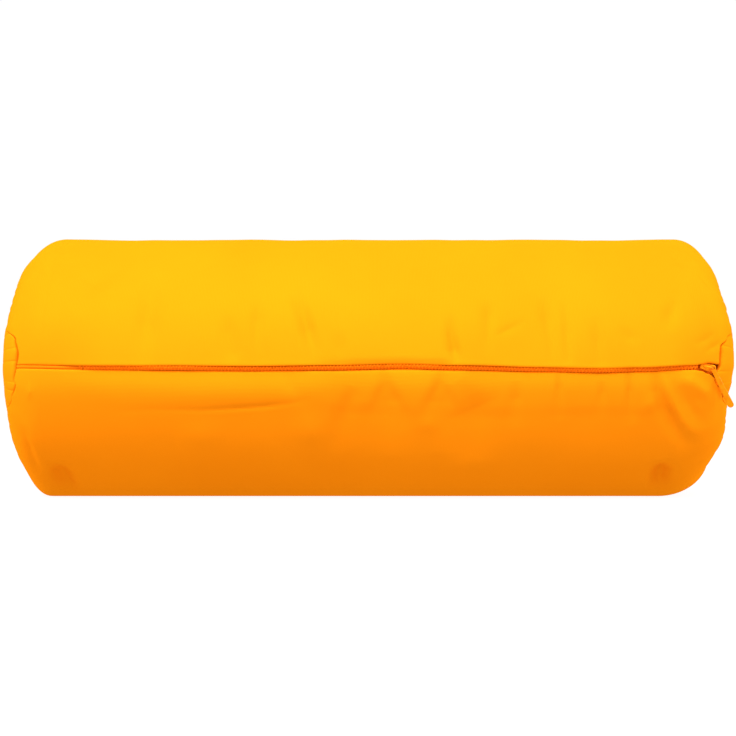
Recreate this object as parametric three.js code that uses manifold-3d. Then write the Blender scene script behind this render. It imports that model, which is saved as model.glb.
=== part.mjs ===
// A neck roll pillow: a soft filled roll in a satin tube cover, lying on its side.
// The roll runs along X, its zip faces the front (-Y), and it stands on Z = 0 on a small pressed flat.
// All sizes are in millimetres and the origin is under the middle of the roll.
// "Angle" goes round the roll: 0 faces the front, 90 is the top and -90 the underside.
// "Up" is a length measured round the roll from the front line, and upwards is positive.
import * as THREE from 'three';
import { mergeVertices } from 'three/addons/utils/BufferGeometryUtils.js';
import Module from 'manifold-3d';

// Roll
const ROLL_RADIUS = 75;
const FLAT_HALF_WIDTH = 21;
const AXIS_HEIGHT = Math.sqrt(ROLL_RADIUS ** 2 - FLAT_HALF_WIDTH ** 2);
const HALF_TURN = Math.PI * ROLL_RADIUS;
const END_DOME = 3.5;

// How each end is rounded off at seven angles: how far it reaches along X, and the
// rounding's size along the roll and towards the axis. The lowest is by the pressed flat,
// which ends straight across the roll. The back mirrors the front.
const ENDS = {
  left: [
    { angle: -73, reach: 195.8, along: 17.4, inward: 31.8 },
    { angle: -45, reach: 198.2, along: 25.6, inward: 28 },
    { angle: -20, reach: 198.3, along: 25, inward: 26.5 },
    { angle: 0, reach: 199.5, along: 26.8, inward: 26.9 },
    { angle: 20, reach: 198.3, along: 26.6, inward: 24 },
    { angle: 45, reach: 197.1, along: 26, inward: 23.8 },
    { angle: 90, reach: 197, along: 23.5, inward: 30 },
  ],
  right: [
    { angle: -73, reach: 194.3, along: 32, inward: 25 },
    { angle: -45, reach: 197.7, along: 38, inward: 28.6 },
    { angle: -20, reach: 198.9, along: 29, inward: 27.5 },
    { angle: 0, reach: 199.6, along: 27, inward: 26.6 },
    { angle: 20, reach: 199.4, along: 26.8, inward: 25.2 },
    { angle: 45, reach: 197.1, along: 24.6, inward: 24 },
    { angle: 90, reach: 197, along: 21, inward: 31 },
  ],
};

// The end seams. Each lies in a groove 68 degrees round the rounding, hidden behind the
// puffed rim, and only the zip's stiff end holds it further forward.
const SEAM_TURN = 68;
const SEAM_SINK = 2.6;
const SINK_WIDTH = 9;
const SEAMS = {
  left: [
    { up: -27, turn: SEAM_TURN },
    { up: -18, turn: 43 },
    { up: -9, turn: 34 },
    { up: 8, turn: 32 },
    { up: 16, turn: 38 },
    { up: 25, turn: SEAM_TURN },
  ],
  right: [
    { up: -27, turn: SEAM_TURN },
    { up: -16, turn: 38 },
    { up: -9, turn: 28 },
    { up: 0, turn: 31 },
    { up: 11, turn: 35 },
    { up: 21, turn: SEAM_TURN },
  ],
};

// End discs
const DISC_THICKNESS = 2.5;
const DISC_CLEARANCE = 1;
const DISC_EDGE_GAP = 1.4;
const PLEAT_PITCH = 6.4;
const PLEAT_HEIGHT = 1;
const DISC_STATIONS = [0.3, 0.6, 0.74, 0.86, 1];

// Zip channel between the two folded cloth edges, and the zip in it
const CHANNEL_HALF_WIDTH = 1.8;
const CHANNEL_DEPTH = 3.4;
const POCKET_EXTRA_WIDTH = 2.6;
const POCKET_EXTRA_DEPTH = 1.3;
const POCKET_START = 172;
const POCKET_FULL = 177;
const CLEARANCE = 0.3;
const TAPE_WIDTH = 3;
const TAPE_THICKNESS = 1;
const COIL_WIDTH = 2.2;
const COIL_THICKNESS = 1.2;
const COIL_TOP_SHARE = 0.8;
const COIL_CROWN = 0.2;
const ZIP_END_GAP = 1.2;
const COIL_END_GAP = 1.3;
const ZIP_SHORT_STEP = 2.5;
const ZIP_LONG_STEP = 8;

// The zip isn't quite straight: its height at places along the roll
const ZIP_LINE = [
  { x: -188, up: 1.4 },
  { x: -152, up: 0.9 },
  { x: -115, up: 0.6 },
  { x: -62, up: 0.4 },
  { x: -20, up: 0.6 },
  { x: 17, up: 1.4 },
  { x: 48, up: 0.9 },
  { x: 90, up: -0.2 },
  { x: 122, up: -0.7 },
  { x: 143, up: -0.2 },
  { x: 170, up: 0.9 },
  { x: 188, up: 1.4 },
];

// Folds of the cover, each from one place on it to another. Depth is negative for a
// trough and positive for a ridge, and width is where it has died to about a third.
// At this many widths from its line a fold has ended.
const FOLD_REACH = 2.2;
const FOLDS = [
  // Troughs that run up from the zip
  { x1: -36, up1: 29, x2: -31, up2: 10, width: 3.5, depth: -1.4 },
  { x1: -59, up1: 30, x2: -59, up2: 20, width: 4, depth: -0.9 },
  { x1: -74, up1: 22, x2: -74, up2: 16, width: 4, depth: -0.7 },
  { x1: -116, up1: 42, x2: -117, up2: 20, width: 6, depth: -0.8 },
  { x1: 44, up1: 20, x2: 45, up2: 5, width: 2.6, depth: -1.2 },
  { x1: 91, up1: 30, x2: 93, up2: 12, width: 4.5, depth: -0.9 },
  // The long soft crease under the zip
  { x1: -131, up1: -20, x2: -73, up2: -19, width: 4.5, depth: 0.7 },
  { x1: -73, up1: -19, x2: -42, up2: -17, width: 4, depth: 1 },
  { x1: -42, up1: -17, x2: 175, up2: -17.5, width: 5, depth: 0.7 },
  // Puckers under the zip
  { x1: 9, up1: -6, x2: 10, up2: -18, width: 4.5, depth: -1.5 },
  { x1: 34, up1: -6, x2: 32, up2: -19, width: 4.5, depth: -1.3 },
  { x1: 55, up1: -12, x2: 64, up2: -15, width: 5, depth: -1.1 },
  { x1: -9, up1: -15, x2: -12, up2: -38, width: 5, depth: -1 },
  { x1: 22, up1: -8, x2: 22, up2: -13, width: 4, depth: 0.9 },
  { x1: -27, up1: -20, x2: -22, up2: -32, width: 7, depth: 0.9 },
  { x1: 35, up1: -27, x2: 35, up2: -35, width: 6, depth: 0.9 },
  // The fan of folds under the right end of the zip
  { x1: 157, up1: -7, x2: 161, up2: -17, width: 3.2, depth: 1.5 },
  { x1: 161, up1: -17, x2: 172, up2: -37, width: 3.6, depth: 1.6 },
  { x1: 151, up1: -10, x2: 156, up2: -26, width: 5, depth: -1.5 },
  { x1: 156, up1: -26, x2: 173, up2: -47, width: 5.5, depth: -1.9 },
  { x1: 165, up1: -7, x2: 176, up2: -14, width: 4, depth: 1.1 },
  // The hollow that the pull lies in
  { x1: 183, up1: -6, x2: 190, up2: -15, width: 3.5, depth: -1.8 },
  // Soft dents low at both ends
  { x1: -167, up1: -67, x2: -162, up2: -72, width: 11, depth: -2 },
  { x1: 153, up1: -62, x2: 155, up2: -70, width: 11, depth: -2.2 },
  { x1: -180, up1: -38, x2: -176, up2: -60, width: 5, depth: -1.3 },
];

// Mesh steps: heights of the columns next to the zip, then the wider columns round the roll
const NEAR_COLUMNS = [1.8, 2.3, 3.6, 6, 9, 12.5, 16, 19, 22, 25.5, 30, 37, 46, 57];
const LIP_COLUMN = 2.3;
const LIP_DROP = 0.6;
const WIDE_COLUMN = 13.5;
const FLAT_COLUMNS = 3;
const BARREL_ROWS = 50;
const SHOULDER_ROWS = 6;
const FIRST_SHOULDER_ROW = 0.25;

// How far from the zip the columns still follow its line, and how fast the pocket's width gives
const CHANNEL_FOLLOW = 25;
const POCKET_GIVE = 3.6;

// Slider, turned a little on its tape, and pull
const SLIDER_AT = 180;
const SLIDER_YAW = -14;
const SLIDER_LENGTH = 8;
const SLIDER_WIDTH = 5.6;
const SLIDER_TAIL_WIDTH = 4;
const SLIDER_THICKNESS = 1.9;
const SLIDER_WIDEST_AT = 0.2;
const SLIDER_BEVEL = 0.35;
const BRIDGE_LENGTH = 5.4;
const BRIDGE_WIDTH = 1.1;
const BRIDGE_HEIGHT = 3.6;
const BRIDGE_BAR = 0.8;
const PULL_LENGTH = 23;
const PULL_HEAD_WIDTH = 4.1;
const PULL_NECK_WIDTH = 3;
const PULL_TIP_WIDTH = 4;
const PULL_THICKNESS = 1;
const PULL_BEVEL = 0.25;
const PULL_EYE_RADIUS = 1.3;
const PULL_SEAT = 1.7;
const PULL_TIP = new THREE.Vector3(194.6, -67.8, AXIS_HEIGHT - 20);

const degrees = THREE.MathUtils.radToDeg;

// Reads one column of a table between two of its rows, easing from row to row
function tableValue(rows, key, at, column) {
  const last = rows.length - 1;
  if (at <= rows[0][key]) return rows[0][column];
  if (at >= rows[last][key]) return rows[last][column];
  const next = rows.findIndex((row) => row[key] > at);
  const low = rows[next - 1];
  const high = rows[next];
  const share = THREE.MathUtils.smoothstep(at, low[key], high[key]);
  return THREE.MathUtils.lerp(low[column], high[column], share);
}

// The angle's height on the front half of the roll, so that the back mirrors the front
function mirroredAngle(up) {
  const angle = degrees(up / ROLL_RADIUS);
  const wrapped = THREE.MathUtils.euclideanModulo(angle + 180, 360) - 180;
  return Math.abs(wrapped) > 90 ? Math.sign(wrapped) * 180 - wrapped : wrapped;
}

function endShape(side, up) {
  const angle = mirroredAngle(up);
  return {
    reach: tableValue(ENDS[side], 'angle', angle, 'reach'),
    along: tableValue(ENDS[side], 'angle', angle, 'along'),
    inward: tableValue(ENDS[side], 'angle', angle, 'inward'),
  };
}

// A place on the end of the roll: station 0 is on the axis, 1 is the rim of the end's face,
// and 2 is where the rounding meets the straight barrel. The normal leans along and outward.
function endPlace(side, up, station) {
  const { reach, along, inward } = endShape(side, up);
  const faceRadius = ROLL_RADIUS - inward;
  if (station <= 1) {
    const rise = (1 - station ** 2) ** 2;
    return { x: reach + END_DOME * rise, radius: faceRadius * station, lean: Math.PI / 2 };
  }
  const turn = (2 - station) * Math.PI / 2;
  return {
    x: reach - along + along * Math.sin(turn),
    radius: faceRadius + inward * Math.cos(turn),
    lean: turn,
  };
}

function seamStation(side, up) {
  return 2 - tableValue(SEAMS[side], 'up', up, 'turn') / 90;
}

// How far the cloth sinks towards the seam's groove, from the disc's side of it
function seamSink(side, up, station) {
  const distance = (seamStation(side, up) - station) * endShape(side, up).inward * (Math.PI / 2);
  return SEAM_SINK * Math.exp(-((distance / SINK_WIDTH) ** 2));
}

function barrelStart(side, up) {
  const { reach, along } = endShape(side, up);
  return reach - along;
}

const zipHeight = (x) => tableValue(ZIP_LINE, 'x', x, 'up');

const pocketShare = (x) => THREE.MathUtils.smoothstep(x, POCKET_START, POCKET_FULL);

// Distance from a place on the cover to a fold's line
function distanceToFold(fold, x, up) {
  const dx = fold.x2 - fold.x1;
  const dup = fold.up2 - fold.up1;
  const along = ((x - fold.x1) * dx + (up - fold.up1) * dup) / (dx * dx + dup * dup);
  const share = THREE.MathUtils.clamp(along, 0, 1);
  return Math.hypot(x - fold.x1 - share * dx, up - fold.up1 - share * dup);
}

function foldHeight(x, up) {
  let height = 0;
  for (const fold of FOLDS) {
    const widths = distanceToFold(fold, x, up) / fold.width;
    if (widths < FOLD_REACH) height += fold.depth * Math.exp(-(widths ** 2));
  }
  return height;
}

// A point in space, from a place on the roll's outline and a height above the cover.
// The underside is pressed flat, on Z = 0 under the barrel and rising with each end's rounding.
function pointOn(place, sign, up, height) {
  const angle = up / ROLL_RADIUS;
  const radius = place.radius + height * Math.cos(place.lean);
  const pressed = AXIS_HEIGHT * (1 - radius / ROLL_RADIUS);
  return new THREE.Vector3(
    sign * (place.x + height * Math.sin(place.lean)),
    -radius * Math.cos(angle),
    Math.max(pressed, AXIS_HEIGHT + radius * Math.sin(angle)),
  );
}

// Columns round the roll, as heights above the zip: close beside it and wider behind
function roundColumns() {
  const flatFar = ROLL_RADIUS * (Math.PI - Math.acos(FLAT_HALF_WIDTH / ROLL_RADIUS));
  const flatNear = HALF_TURN - flatFar;
  const spread = (from, to) => {
    const count = Math.round((to - from) / WIDE_COLUMN);
    return Array.from({ length: count }, (_, i) => from + ((i + 1) * (to - from)) / count);
  };
  const flat = Array.from(
    { length: FLAT_COLUMNS },
    (_, i) => flatNear + ((i + 1) * (flatFar - flatNear)) / FLAT_COLUMNS,
  );
  const last = NEAR_COLUMNS[NEAR_COLUMNS.length - 1];
  const below = [...NEAR_COLUMNS, ...spread(last, flatNear), ...flat, ...spread(flatFar, HALF_TURN)];
  const above = [...NEAR_COLUMNS, ...spread(last, HALF_TURN)];
  above.pop();
  return [...below.reverse().map((up) => -up), ...above];
}

// Near the zip a column keeps its distance from the zip's uneven line and its wider pocket
function columnUp(column, x) {
  const follow = 1 - THREE.MathUtils.smoothstep(Math.abs(column), CHANNEL_FOLLOW, 2 * CHANNEL_FOLLOW);
  const widen = POCKET_EXTRA_WIDTH * pocketShare(x);
  const give = Math.exp(-Math.max(0, Math.abs(column) - LIP_COLUMN) / POCKET_GIVE);
  return column + follow * zipHeight(x) + Math.sign(column) * widen * give;
}

function channelHeight(column, x) {
  const distance = Math.abs(column);
  if (distance <= CHANNEL_HALF_WIDTH) return -CHANNEL_DEPTH - POCKET_EXTRA_DEPTH * pocketShare(x);
  return distance <= LIP_COLUMN ? -LIP_DROP : 0;
}

// One ring of the cover on an end: under the disc, or on the rounding outside the seam
function endRing(side, columns, { under, share, height }) {
  const sign = side === 'left' ? -1 : 1;
  return columns.map((column) => {
    const seam = seamStation(side, column);
    const place = endPlace(side, column, under ? seam * share : seam + (2 - seam) * share);
    if (under) return pointOn(place, sign, column, height - seamSink(side, column, seam * share));
    const x = sign * place.x;
    const up = columnUp(column, x);
    return pointOn(place, sign, up, height + channelHeight(column, x) + foldHeight(x, up));
  });
}

function barrelRing(columns, share) {
  return columns.map((column) => {
    const left = -barrelStart('left', column);
    const right = barrelStart('right', column);
    const x = THREE.MathUtils.lerp(left, right, share);
    const up = columnUp(column, x);
    const place = { x, radius: ROLL_RADIUS, lean: 0 };
    return pointOn(place, 1, up, channelHeight(column, x) + foldHeight(x, up));
  });
}

// Rings of one end, from the axis out to the barrel
function endRings(side, columns) {
  const depth = DISC_THICKNESS + DISC_CLEARANCE;
  const under = DISC_STATIONS.map((share) => endRing(side, columns, { under: true, share, height: -depth }));
  const shoulder = [];
  for (let row = 0; row < SHOULDER_ROWS; row += 1) {
    const share = (row + FIRST_SHOULDER_ROW) / SHOULDER_ROWS;
    const height = row === 0 ? -LIP_DROP : 0;
    shoulder.push(endRing(side, columns, { under: false, share, height }));
  }
  return [...under, ...shoulder];
}

// A closed skin over rings that each go once round, with a point at both ends
function skin(startPoint, rings, endPoint) {
  const count = rings[0].length;
  const points = [startPoint, ...rings.flat(), endPoint];
  const faces = [];
  const at = (ring, i) => 1 + ring * count + (i % count);
  for (let i = 0; i < count; i += 1) {
    faces.push(0, at(0, i), at(0, i + 1));
    for (let ring = 0; ring < rings.length - 1; ring += 1) {
      faces.push(at(ring, i), at(ring + 1, i), at(ring + 1, i + 1));
      faces.push(at(ring, i), at(ring + 1, i + 1), at(ring, i + 1));
    }
    faces.push(at(rings.length - 1, i), points.length - 1, at(rings.length - 1, i + 1));
  }
  return closedGeometry(points, faces);
}

// Builds the geometry, and turns it if its faces point inwards
function closedGeometry(points, faces) {
  const geometry = new THREE.BufferGeometry();
  geometry.setFromPoints(points);
  geometry.setIndex(signedVolume(points, faces) > 0 ? faces : faces.toReversed());
  geometry.computeVertexNormals();
  return geometry;
}

function signedVolume(points, faces) {
  let volume = 0;
  for (let i = 0; i < faces.length; i += 3) {
    const [a, b, c] = [points[faces[i]], points[faces[i + 1]], points[faces[i + 2]]];
    volume += a.dot(b.clone().cross(c));
  }
  return volume;
}

function coverRoll() {
  const columns = roundColumns();
  const left = endRings('left', columns);
  const right = endRings('right', columns).reverse();
  const barrel = [];
  for (let row = 0; row <= BARREL_ROWS; row += 1) barrel.push(barrelRing(columns, row / BARREL_ROWS));
  const depth = DISC_THICKNESS + DISC_CLEARANCE;
  const startPoint = pointOn(endPlace('left', 0, 0), -1, 0, -depth);
  const endPoint = pointOn(endPlace('right', 0, 0), 1, 0, -depth);
  return skin(startPoint, [...left, ...barrel, ...right], endPoint);
}

// The disc's pleats divide the spaces between the cover's columns into half pleats
function pleatColumns(side, columns) {
  return columns.flatMap((column, i) => {
    const next = i + 1 < columns.length ? columns[i + 1] : columns[0] + 2 * HALF_TURN;
    const { radius } = endPlace(side, column, seamStation(side, column));
    const length = ((next - column) * radius) / ROLL_RADIUS;
    const count = Math.max(1, Math.round(length / (PLEAT_PITCH / 2)));
    return Array.from({ length: count }, (_, step) => ({ column, next, share: step / count }));
  });
}

// A domed cloth disc, gathered into small radial pleats where it is sewn to the tube
function endDisc(side) {
  const sign = side === 'left' ? -1 : 1;
  const columns = pleatColumns(side, roundColumns());
  const edgePoint = (column, share, height) => {
    const seam = seamStation(side, column);
    const gap = DISC_EDGE_GAP / endShape(side, column).inward;
    const station = share < 1 ? seam * share : seam - gap;
    return pointOn(endPlace(side, column, station), sign, column, height - seamSink(side, column, station));
  };
  const ring = (share, height, pleat) => columns.map((place, i) => {
    const wave = height - pleat * share ** 3 * (i % 2);
    return edgePoint(place.column, share, wave).lerp(edgePoint(place.next, share, wave), place.share);
  });
  const outside = DISC_STATIONS.map((share) => ring(share, 0, PLEAT_HEIGHT));
  const inside = DISC_STATIONS.map((share) => ring(share, -DISC_THICKNESS, 0)).reverse();
  const centre = endPlace(side, 0, 0);
  const top = pointOn(centre, sign, 0, 0);
  const base = pointOn(centre, sign, 0, -DISC_THICKNESS);
  return skin(top, [...outside, ...inside], base);
}

// The roll's outline along its front line, at a distance along the roll
function frontPlace(x) {
  const side = x < 0 ? 'left' : 'right';
  const { along, inward } = endShape(side, 0);
  const beyond = Math.abs(x) - barrelStart(side, 0);
  if (beyond <= 0) return { x: Math.abs(x), radius: ROLL_RADIUS, lean: 0 };
  const turn = Math.asin(beyond / along);
  return { x: Math.abs(x), radius: ROLL_RADIUS - inward * (1 - Math.cos(turn)), lean: turn };
}

// Where the zip meets an end seam
function zipEnd(side) {
  return endPlace(side, 0, seamStation(side, 0)).x - ZIP_END_GAP;
}

// Places along the zip, closer together on the rounded ends
function zipStations(from, to) {
  const stations = [];
  let x = from;
  while (x < to - ZIP_SHORT_STEP / 2) {
    stations.push(x);
    const rounded = x < -barrelStart('left', 0) || x > barrelStart('right', 0) - ZIP_LONG_STEP;
    x += rounded ? ZIP_SHORT_STEP : ZIP_LONG_STEP;
  }
  return [...stations, to];
}

// A strip that lies along the zip: its section is given as height above the cover and side offset
function zipStrip(from, to, section) {
  const rings = zipStations(from, to).map((x) => section.map(({ side, height }) => {
    const floor = height - CHANNEL_DEPTH - POCKET_EXTRA_DEPTH * pocketShare(x);
    return pointOn(frontPlace(x), Math.sign(x) || 1, zipHeight(x) + side, floor);
  }));
  const middle = (ring) => ring.reduce((sum, p) => sum.add(p), new THREE.Vector3()).divideScalar(ring.length);
  return skin(middle(rings[0]), rings, middle(rings[rings.length - 1]));
}

function zipTape() {
  const half = TAPE_WIDTH / 2;
  const top = CLEARANCE + TAPE_THICKNESS;
  return zipStrip(-zipEnd('left'), zipEnd('right'), [
    { side: -half, height: CLEARANCE },
    { side: -half, height: top },
    { side: half, height: top },
    { side: half, height: CLEARANCE },
  ]);
}

// The coil chain is a low ridge with sloping sides, and stops at the slider
function zipCoil() {
  const low = CLEARANCE + TAPE_THICKNESS + CLEARANCE;
  const high = low + COIL_THICKNESS;
  const half = COIL_WIDTH / 2;
  const shoulder = half * COIL_TOP_SHARE;
  return zipStrip(-zipEnd('left'), SLIDER_AT - SLIDER_LENGTH / 2 - COIL_END_GAP, [
    { side: -half, height: low },
    { side: -shoulder, height: high - COIL_CROWN },
    { side: 0, height: high },
    { side: shoulder, height: high - COIL_CROWN },
    { side: half, height: low },
  ]);
}

// The slider's own frame: X along it, Z away from the roll, origin on the tape
function sliderFrame() {
  const place = frontPlace(SLIDER_AT);
  const height = CLEARANCE + TAPE_THICKNESS + CLEARANCE - CHANNEL_DEPTH - POCKET_EXTRA_DEPTH;
  const origin = pointOn(place, 1, zipHeight(SLIDER_AT), height);
  const away = new THREE.Vector3(Math.sin(place.lean), -Math.cos(place.lean), 0);
  const forward = new THREE.Vector3(Math.cos(place.lean), Math.sin(place.lean), 0);
  forward.applyAxisAngle(away, THREE.MathUtils.degToRad(SLIDER_YAW));
  const across = new THREE.Vector3().crossVectors(away, forward);
  return new THREE.Matrix4().makeBasis(forward, across, away).setPosition(origin);
}

function bevelled(shape, depth, bevel) {
  return new THREE.ExtrudeGeometry(shape, {
    depth: depth - 2 * bevel,
    bevelEnabled: true,
    bevelSize: bevel,
    bevelThickness: bevel,
    bevelOffset: -bevel,
    bevelSegments: 1,
    curveSegments: 5,
  }).translate(0, 0, bevel);
}

// The slider's plan: widest where the two halves of the chain part, and rounded
function sliderPlan() {
  const nose = SLIDER_LENGTH / 2;
  const wide = SLIDER_WIDTH / 2;
  const tail = SLIDER_TAIL_WIDTH / 2;
  const widestAt = nose * SLIDER_WIDEST_AT;
  const shape = new THREE.Shape();
  shape.moveTo(-nose, -tail);
  shape.lineTo(widestAt, -wide);
  shape.quadraticCurveTo(nose, -wide, nose, 0);
  shape.quadraticCurveTo(nose, wide, widestAt, wide);
  shape.lineTo(-nose, tail);
  shape.closePath();
  return shape;
}

// The bridge stands on the slider like a staple, and the pull hangs from it
function bridgeProfile() {
  const half = BRIDGE_LENGTH / 2;
  const shape = new THREE.Shape();
  shape.moveTo(-half, -BRIDGE_BAR);
  shape.lineTo(half, -BRIDGE_BAR);
  shape.quadraticCurveTo(half, BRIDGE_HEIGHT, 0, BRIDGE_HEIGHT);
  shape.quadraticCurveTo(-half, BRIDGE_HEIGHT, -half, -BRIDGE_BAR);
  const hole = new THREE.Path();
  const inner = half - BRIDGE_BAR;
  const top = BRIDGE_HEIGHT - BRIDGE_BAR;
  hole.moveTo(-inner, 0);
  hole.quadraticCurveTo(-inner, top, 0, top);
  hole.quadraticCurveTo(inner, top, inner, 0);
  hole.closePath();
  shape.holes.push(hole);
  return shape;
}

async function union(first, second) {
  const wasm = await Module();
  wasm.setup();
  const solid = (geometry) => {
    const bare = new THREE.BufferGeometry();
    const flat = geometry.index ? geometry.toNonIndexed() : geometry;
    bare.setAttribute('position', flat.getAttribute('position'));
    const merged = mergeVertices(bare, 1e-4);
    return new wasm.Manifold(new wasm.Mesh({
      numProp: 3,
      vertProperties: new Float32Array(merged.getAttribute('position').array),
      triVerts: new Uint32Array(merged.index.array),
    }));
  };
  const mesh = solid(first).add(solid(second)).getMesh();
  const geometry = new THREE.BufferGeometry();
  geometry.setAttribute('position', new THREE.BufferAttribute(mesh.vertProperties, 3));
  geometry.setIndex(new THREE.BufferAttribute(mesh.triVerts, 1));
  return geometry;
}

async function zipSlider() {
  const body = bevelled(sliderPlan(), SLIDER_THICKNESS, SLIDER_BEVEL);
  const bridge = new THREE.ExtrudeGeometry(bridgeProfile(), {
    depth: BRIDGE_WIDTH,
    bevelEnabled: false,
    curveSegments: 6,
  });
  bridge.translate(0, 0, -BRIDGE_WIDTH / 2).rotateX(Math.PI / 2).translate(0, 0, SLIDER_THICKNESS);
  return (await union(body, bridge)).applyMatrix4(sliderFrame());
}

// The pull is a slim tab with a round tip, and its eye goes round the bridge's front leg
function zipPull() {
  const head = PULL_HEAD_WIDTH / 2;
  const tip = PULL_TIP_WIDTH / 2;
  const neck = PULL_NECK_WIDTH / 2;
  const shape = new THREE.Shape();
  const open = Math.asin(neck / head);
  shape.absarc(0, 0, head, open, 2 * Math.PI - open, false);
  shape.lineTo(PULL_LENGTH - tip, -tip);
  shape.absarc(PULL_LENGTH - tip, 0, tip, -Math.PI / 2, Math.PI / 2, false);
  shape.closePath();
  const eye = new THREE.Path();
  eye.absarc(0, 0, PULL_EYE_RADIUS, 0, 2 * Math.PI, true);
  shape.holes.push(eye);
  const geometry = bevelled(shape, PULL_THICKNESS, PULL_BEVEL).translate(0, 0, -PULL_THICKNESS / 2);
  const frame = sliderFrame();
  const start = new THREE.Vector3((BRIDGE_LENGTH - BRIDGE_BAR) / 2, 0, SLIDER_THICKNESS + PULL_SEAT);
  start.applyMatrix4(frame);
  const along = PULL_TIP.clone().sub(start).normalize();
  const away = new THREE.Vector3().setFromMatrixColumn(frame, 2);
  const across = new THREE.Vector3().crossVectors(away, along).normalize();
  away.crossVectors(along, across);
  return geometry.applyMatrix4(new THREE.Matrix4().makeBasis(along, across, away).setPosition(start));
}

function piece(name, geometry, material) {
  const mesh = new THREE.Mesh(geometry, material);
  mesh.name = name;
  return mesh;
}

const coverCloth = new THREE.MeshStandardMaterial({ color: 0xf9b512, roughness: 0.55, metalness: 0 });
const zipCloth = new THREE.MeshStandardMaterial({ color: 0xe87a08, roughness: 0.7, metalness: 0 });
const zipNylon = new THREE.MeshStandardMaterial({ color: 0xe06c08, roughness: 0.45, metalness: 0 });
const lacqueredMetal = new THREE.MeshStandardMaterial({ color: 0xf39a10, roughness: 0.35, metalness: 0.3 });

const pillow = new THREE.Group();
pillow.add(
  piece('cover_roll', coverRoll(), coverCloth),
  piece('end_disc_left', endDisc('left'), coverCloth),
  piece('end_disc_right', endDisc('right'), coverCloth),
  piece('zip_tape', zipTape(), zipCloth),
  piece('zip_coil', zipCoil(), zipNylon),
  piece('zip_slider', await zipSlider(), lacqueredMetal),
  piece('zip_pull', zipPull(), lacqueredMetal),
);

export default pillow;
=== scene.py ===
"""A neck roll pillow in a satin cover: the tube, its gathered ends, and the zip along its front."""

import math

import bpy
import numpy as np
from mathutils import Matrix, Vector


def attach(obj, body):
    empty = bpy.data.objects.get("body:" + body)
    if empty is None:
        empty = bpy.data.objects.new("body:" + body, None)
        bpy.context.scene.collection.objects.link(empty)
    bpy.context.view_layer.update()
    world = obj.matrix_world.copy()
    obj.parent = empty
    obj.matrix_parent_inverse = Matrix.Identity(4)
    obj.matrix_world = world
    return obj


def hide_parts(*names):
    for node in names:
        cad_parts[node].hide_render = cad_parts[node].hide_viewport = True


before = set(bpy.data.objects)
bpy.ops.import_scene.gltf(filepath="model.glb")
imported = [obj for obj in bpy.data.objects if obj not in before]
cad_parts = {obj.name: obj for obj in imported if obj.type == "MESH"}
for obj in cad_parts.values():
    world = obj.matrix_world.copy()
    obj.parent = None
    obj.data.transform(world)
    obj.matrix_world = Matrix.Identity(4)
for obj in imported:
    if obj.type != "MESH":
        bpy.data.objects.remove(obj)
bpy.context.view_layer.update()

# Shapes are worked out in millimetres, as in the part's source, and turned to metres in mesh_object.
# "Up" is a length round the roll from the front line, and a station on an end is 0 on the axis,
# 1 at the rim of the end's face and 2 where the rounding meets the barrel.
MM = 0.001

# Roll
SIDES = {"left": -1, "right": 1}
ROLL_RADIUS = 75.0
FLAT_HALF_WIDTH = 21.0
AXIS_HEIGHT = math.sqrt(ROLL_RADIUS**2 - FLAT_HALF_WIDTH**2)
HALF_TURN = math.pi * ROLL_RADIUS
FLAT_EDGE = ROLL_RADIUS * math.acos(FLAT_HALF_WIDTH / ROLL_RADIUS)
FLAT_MIDDLE = HALF_TURN / 2
BACK_EDGE = HALF_TURN - FLAT_EDGE
FLAT_FADE = 15.0
END_DOME = 3.5

# Angle, reach along X, and the rounding's size along the roll and towards the axis
ENDS = {
    "left": (
        (-85, 196.6, 17.4, 31.8),
        (-73, 196.7, 17.4, 31.8),
        (-62, 196.8, 20.2, 30.5),
        (-50, 198.3, 24.9, 28.3),
        (-40, 198.8, 25.5, 27.8),
        (-30, 198.7, 25.2, 27.0),
        (-20, 198.9, 25.0, 26.5),
        (-10, 199.1, 25.9, 26.7),
        (0, 199.6, 26.8, 26.9),
        (10, 199.2, 26.8, 25.4),
        (20, 199.1, 26.8, 24.0),
        (30, 198.5, 26.7, 23.9),
        (40, 197.9, 26.7, 23.9),
        (50, 197.8, 26.3, 24.4),
        (60, 198.3, 25.1, 26.3),
        (70, 196.9, 24.7, 27.2),
        (85, 197.0, 23.6, 29.7),
    ),
    "right": (
        (-80, 195.3, 29.2, 25.0),
        (-66, 193.9, 32.2, 26.1),
        (-54, 196.3, 37.3, 28.1),
        (-44, 198.4, 37.7, 29.3),
        (-34, 198.1, 34.3, 28.6),
        (-25, 197.4, 30.4, 27.7),
        (-15, 197.0, 28.5, 27.4),
        (-6, 198.4, 27.4, 27.0),
        (3, 199.4, 27.0, 26.6),
        (12, 199.3, 26.9, 25.8),
        (20, 199.4, 26.8, 25.2),
        (32, 197.7, 25.8, 24.6),
        (45, 196.2, 24.6, 24.0),
        (58, 196.6, 23.9, 25.4),
        (70, 195.9, 22.5, 28.1),
        (85, 197.0, 21.1, 30.8),
    ),
}

# Up, and how many degrees round the end's rounding the seam lies
SEAMS = {
    "left": (
        (-46, 72),
        (-30, 67),
        (-17.8, 44),
        (-9, 35),
        (-6.5, 38),
        (0, 35.5),
        (8.6, 34),
        (17, 38.5),
        (28.5, 67),
        (44, 72),
    ),
    "right": (
        (-44, 72),
        (-28, 67),
        (-18, 52),
        (-13.6, 45.5),
        (-7, 28.6),
        (-2, 30),
        (2, 34),
        (12.8, 36),
        (19.2, 48.5),
        (26, 67),
        (42, 72),
    ),
}
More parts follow.
